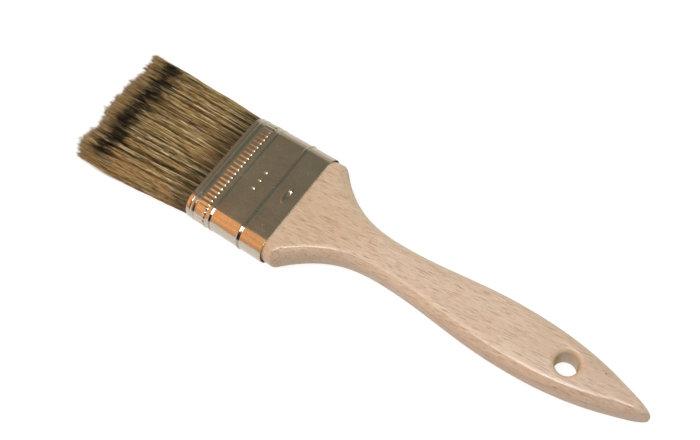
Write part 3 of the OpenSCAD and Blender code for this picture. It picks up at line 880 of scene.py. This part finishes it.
def build_floor():
    """A white table that only the camera sees. Its light on the brush is in the room's shader."""
    half = 3.0
    corners = [(-half, -half, 0), (half, -half, 0), (half, half, 0), (-half, half, 0)]
    floor = make_mesh("floor", corners, [[0, 1, 2, 3]])
    n = Nodes("floor")
    n.set(n.shader, "Base_Color", (0.25, 0.25, 0.25, 1))
    n.set(n.shader, "Roughness", 0.9)
    n.set(n.shader, "Specular_IOR_Level", 0.1)
    n.set(n.shader, "Emission_Color", (1, 1, 1, 1))
    n.set(n.shader, "Emission_Strength", 0.84)
    floor.data.materials.append(n.material)
    floor.visible_diffuse = floor.visible_glossy = floor.visible_shadow = False


def build_backdrop():
    """A plain white surround that only the camera sees, so that every view has a plain background."""
    half = 6.0
    ring = ((-half, -half), (half, -half), (half, half), (-half, half))
    corners = [(x, y, z) for z in (-half, half) for x, y in ring]
    walls = [[i, (i + 1) % 4, 4 + (i + 1) % 4, 4 + i] for i in range(4)]
    backdrop = make_mesh("backdrop", corners, walls + [[0, 1, 2, 3], [4, 5, 6, 7]])
    n = Nodes("backdrop")
    n.set(n.shader, "Base_Color", (0, 0, 0, 1))
    n.set(n.shader, "Specular_IOR_Level", 0.0)
    n.set(n.shader, "Emission_Color", (1, 1, 1, 1))
    n.set(n.shader, "Emission_Strength", 1.0)
    backdrop.data.materials.append(n.material)
    backdrop.visible_diffuse = backdrop.visible_glossy = backdrop.visible_shadow = False


def direction(azimuth, elevation):
    a, e = math.radians(azimuth), math.radians(elevation)
    return Vector((math.cos(a) * math.cos(e), math.sin(a) * math.cos(e), math.sin(e)))


def area_light(name, toward, distance, size, radiance, colour=(1, 1, 1), glossy=True):
    """A flat softbox that faces the brush from the given direction, its width as near to X as can be."""
    data = bpy.data.lights.new(name, "AREA")
    data.shape = "RECTANGLE"
    data.size, data.size_y = size
    data.energy, data.color = radiance * math.pi * size[0] * size[1], colour
    lamp = bpy.data.objects.new(name, data)
    along = (Vector((1, 0, 0)) - toward * toward.x).normalized()
    turn = Matrix((along, toward.cross(along), toward)).transposed()
    lamp.matrix_world = Matrix.Translation(toward * distance) @ turn.to_4x4()
    lamp.visible_glossy = glossy
    bpy.context.scene.collection.objects.link(lamp)


# Radiances of the room round the table
CEILING, CEILING_FAR_END = (0.243, 0.221, 0.173), (0.30, 0.225, 0.15)
FAR_WALL = (0.62, 0.56, 0.46)
DARK_HIGH, DARK_LOW, LIGHT_END = (0.145, 0.165, 0.14), (0.02, 0.02, 0.02), (0.5, 0.5, 0.46)
WARM_HIGH, WARM_LOW, WARM_DEEP = (1.42, 0.72, 0.33), (0.78, 0.42, 0.21), (0.85, 0.36, 0.11)
TABLE_NEAR, TABLE_LEFT = (0.68, 0.63, 0.58), (0.95, 0.91, 0.87)
TABLE_FAR, TABLE_RIGHT, TABLE_FAR_LOW = (0.86, 0.84, 0.80), (0.84, 0.74, 0.60), (0.28, 0.23, 0.14)


def build_room():
    """The room by direction: a grey ceiling, warm near wall, dark end and pale far wall over a table."""
    world = bpy.data.worlds.new("room")
    bpy.context.scene.world = world
    world.use_nodes = True
    nodes, links = world.node_tree.nodes, world.node_tree.links
    split = nodes.new("ShaderNodeSeparateXYZ")
    coordinates = nodes.new("ShaderNodeTexCoord").outputs["Generated"]
    links.new(coordinates, split.inputs[0])

    def graded_mix(value, low, high, a, b):
        """a where the value, or the axis of that name, is below low, and b where it is above high."""
        share = nodes.new("ShaderNodeMapRange")
        share.interpolation_type = "SMOOTHSTEP"
        links.new(split.outputs[value] if isinstance(value, str) else value, share.inputs[0])
        share.inputs[1].default_value, share.inputs[2].default_value = low, high
        mix = nodes.new("ShaderNodeMix")
        mix.data_type = "RGBA"
        links.new(share.outputs[0], mix.inputs[0])
        for index, value in ((6, a), (7, b)):
            if isinstance(value, bpy.types.NodeSocket):
                links.new(value, mix.inputs[index])
            else:
                mix.inputs[index].default_value = (*value, 1)
        return mix.outputs[2]

    ceiling = graded_mix("X", -0.60, -0.44, CEILING_FAR_END, CEILING)
    blotches = nodes.new("ShaderNodeTexNoise")
    links.new(coordinates, blotches.inputs["Vector"])
    blotches.inputs["Scale"].default_value, blotches.inputs["Detail"].default_value = 6, 2
    warm = graded_mix(blotches.outputs["Fac"], 0.42, 0.62, WARM_HIGH, WARM_DEEP)
    warm_wall = graded_mix("Z", 0.18, 0.40, WARM_LOW, warm)
    light_side = graded_mix("Y", -0.12, 0.19, warm_wall, ceiling)
    dark_end = graded_mix("Y", -0.62, -0.30, DARK_LOW, DARK_HIGH)
    dark_end = graded_mix("X", 0.45, 0.60, dark_end, LIGHT_END)
    above = graded_mix("X", -0.40, -0.26, light_side, dark_end)
    above = graded_mix("Y", 0.74, 0.88, above, FAR_WALL)
    near_table = graded_mix("X", -0.40, -0.26, TABLE_LEFT, TABLE_NEAR)
    far_table = graded_mix("X", -0.42, -0.30, TABLE_FAR, TABLE_RIGHT)
    far_table = graded_mix("Z", -0.85, -0.60, TABLE_FAR_LOW, far_table)
    table = graded_mix("Y", -0.1, 0.1, near_table, far_table)
    links.new(graded_mix("Z", -0.04, 0.02, table, above), nodes["Background"].inputs["Color"])


def build_light():
    build_room()
    towards_key = Vector((0.03, -0.345, 0.94)).normalized()
    area_light("key", towards_key, 1.4, (0.42, 0.75), 9.05, (1.0, 0.985, 0.96))
    area_light("fill", direction(125, 72), 1.2, (2.0, 2.0), 0.75, glossy=False)


def build_camera():
    """The camera: where it looks, from which side, how high, how far, and its turn about its own axis."""
    target = Vector((-4.8 * MM, 7.0 * MM, MID_Z))
    roll, distance = math.radians(-15.0), 339 * MM
    data = bpy.data.cameras.new("camera")
    data.sensor_width, data.lens = 36, 45.57
    data.clip_start = 0.01
    back = direction(-40.7, 61.0)
    right = Vector((0, 0, 1)).cross(back).normalized()
    up = back.cross(right)
    turned_right = right * math.cos(roll) + up * math.sin(roll)
    turned_up = back.cross(turned_right)
    camera = bpy.data.objects.new("camera", data)
    rotation = Matrix((turned_right, turned_up, back)).transposed()
    camera.matrix_world = Matrix.Translation(target + back * distance) @ rotation.to_4x4()
    bpy.context.scene.collection.objects.link(camera)
    bpy.context.scene.camera = camera


# ---- Putting it together ----------------------------------------------------------------


def dress(piece, material):
    piece.data.materials.clear()
    piece.data.materials.append(material)


handle = build_handle()
cut_hang_hole(handle)
dress(handle, beech())
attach(handle, HANDLE_BODY)
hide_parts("handle")

ferrule = build_ferrule()
dress(ferrule, plated_steel())
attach(ferrule, HANDLE_BODY)
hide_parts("ferrule")

bristle_material = bristle()
for piece in build_bristles():
    dress(piece, bristle_material)
    layer = "upper" if "upper" in piece.name else "lower"
    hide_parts(f"root_{layer}", f"tuft_{layer}")
    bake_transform(piece)

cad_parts["filler_strip"].material_slots[0].material = filler_wood()
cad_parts["resin_setting"].material_slots[0].material = cast_resin()

build_floor()
build_backdrop()
build_light()
build_camera()
bpy.context.scene.view_settings.view_transform = "Standard"
